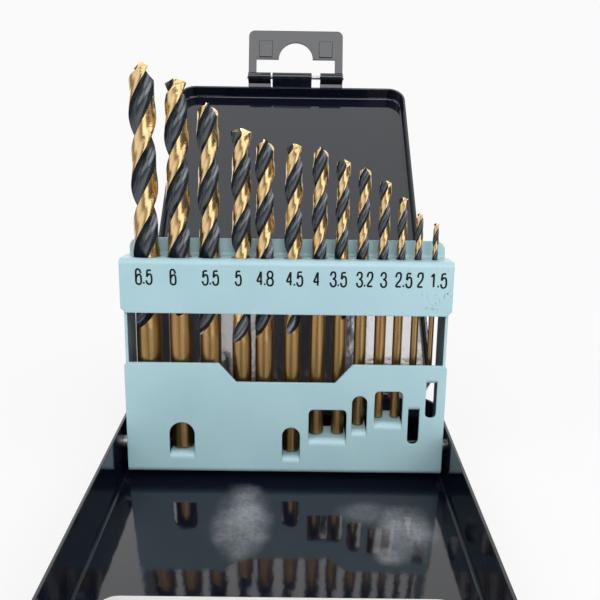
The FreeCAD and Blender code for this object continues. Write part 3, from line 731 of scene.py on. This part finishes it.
# how bright the room looks in gloss, by the direction round the object: 0 is towards the camera's side
ROUND_ABOUT = [
    (-180, 1.8),
    (-136, 1.6),
    (-116, 0.4),
    (-84, 0.4),
    (-66, 1.4),
    (-26, 1.15),
    (-18, 0.4),
    (-11, 0.75),
    (-4, 0.12),
    (4, 0.15),
    (9, 0.6),
    (14, 0.25),
    (22, 0.62),
    (38, 0.5),
    (54, 0.12),
    (118, 0.08),
    (138, 0.9),
    (180, 1.8),
]
LAMPS = [
    # name, place, what it points at, size, power
    ("window", (-0.5, -0.35, 0.75), (0, 0.05, 0.05), 0.5, 1.9),
    ("bounce", (0.6, -0.2, 0.5), (0, 0.05, 0.05), 0.5, 1.8),
    ("front", (0.4, -0.8, 0.22), (0, 0.05, 0.03), 0.6, 1.9),
    ("softbox", (0.08, -0.6, 0.74), (0, 0.1, 0.07), 0.5, 3.0),
]


def studio():
    """A white room: plain for the camera and for matt surfaces, with light and dark sides in the gloss."""
    world = bpy.data.worlds.new("studio")
    world.use_nodes = True
    w = Tree(world.node_tree)
    x, y, z = w.split(w.add("ShaderNodeTexCoord").outputs["Generated"])
    azimuth = w.math("ARCTAN2", x, w.product(y, -1))
    turn = w.between(azimuth, -math.pi, math.pi)
    walls = w.ramp(turn, *(((degrees + 180) / 360, level) for degrees, level in ROUND_ABOUT))
    ceiling = w.between(y, *CEILING_EDGE, CEILING_FRONT, OVERHEAD)
    for middle_x, middle_y, wide, long, level in CEILING_LIGHTS:
        away_x = w.math("ABSOLUTE", w.math("DIVIDE", w.math("SUBTRACT", x, middle_x), wide))
        away_y = w.math("ABSOLUTE", w.math("DIVIDE", w.math("SUBTRACT", y, middle_y), long))
        glow = w.between(w.math("MAXIMUM", away_x, away_y), *SOFT_EDGE, 0.0, level)
        ceiling = w.math("ADD", ceiling, glow)
    in_gloss = w.blend(w.between(z, *CEILING_START), walls, ceiling)
    ray = w.add("ShaderNodeLightPath").outputs
    level = w.blend(ray["Is Camera Ray"], w.blend(ray["Is Glossy Ray"], ROOM, in_gloss), FLOOR_WHITE)
    background = w.tree.nodes["Background"]
    w.feed(background.inputs["Strength"], level)
    w.feed(background.inputs["Color"], (1, 1, 1, 1))
    return world


def make_lamp(name, place, aim, size, power):
    """A square lamp that points at aim."""
    light = bpy.data.lights.new(name, "AREA")
    light.size = size
    light.energy = power
    piece = bpy.data.objects.new(name, light)
    bpy.context.collection.objects.link(piece)
    piece.location = place
    piece.rotation_euler = (Vector(aim) - Vector(place)).to_track_quat("-Z", "Y").to_euler()


bpy.context.scene.world = studio()
for row in LAMPS:
    make_lamp(*row)


# ---------------------------------------------------------------- the camera

# the picture's width and the focal length in pixels, and the sensor's width in millimetres
IMAGE = 600
FOCAL_PIXELS = 679.1
SENSOR = 36
NEAREST = 5 * MM
CAMERA_PLACE = Vector((3.05, -111.6, 103.6)) * MM
CAMERA_PITCH = math.radians(19.01)
CAMERA_YAW = math.radians(0.25)
CAMERA_ROLL = math.radians(0.82)


def make_camera():
    """The main view: from in front of the tray and above it, looking down at the rack."""
    data = bpy.data.cameras.new("camera")
    data.sensor_width = SENSOR
    data.lens = FOCAL_PIXELS / IMAGE * SENSOR
    data.clip_start = NEAREST
    camera = bpy.data.objects.new("camera", data)
    bpy.context.collection.objects.link(camera)
    aim = Matrix.Rotation(-CAMERA_YAW, 4, "Z") @ Matrix.Rotation(math.pi / 2 - CAMERA_PITCH, 4, "X")
    camera.matrix_world = Matrix.Translation(CAMERA_PLACE) @ aim @ Matrix.Rotation(CAMERA_ROLL, 4, "Z")
    return camera


bpy.context.scene.camera = make_camera()
bpy.context.scene.view_settings.view_transform = "Standard"
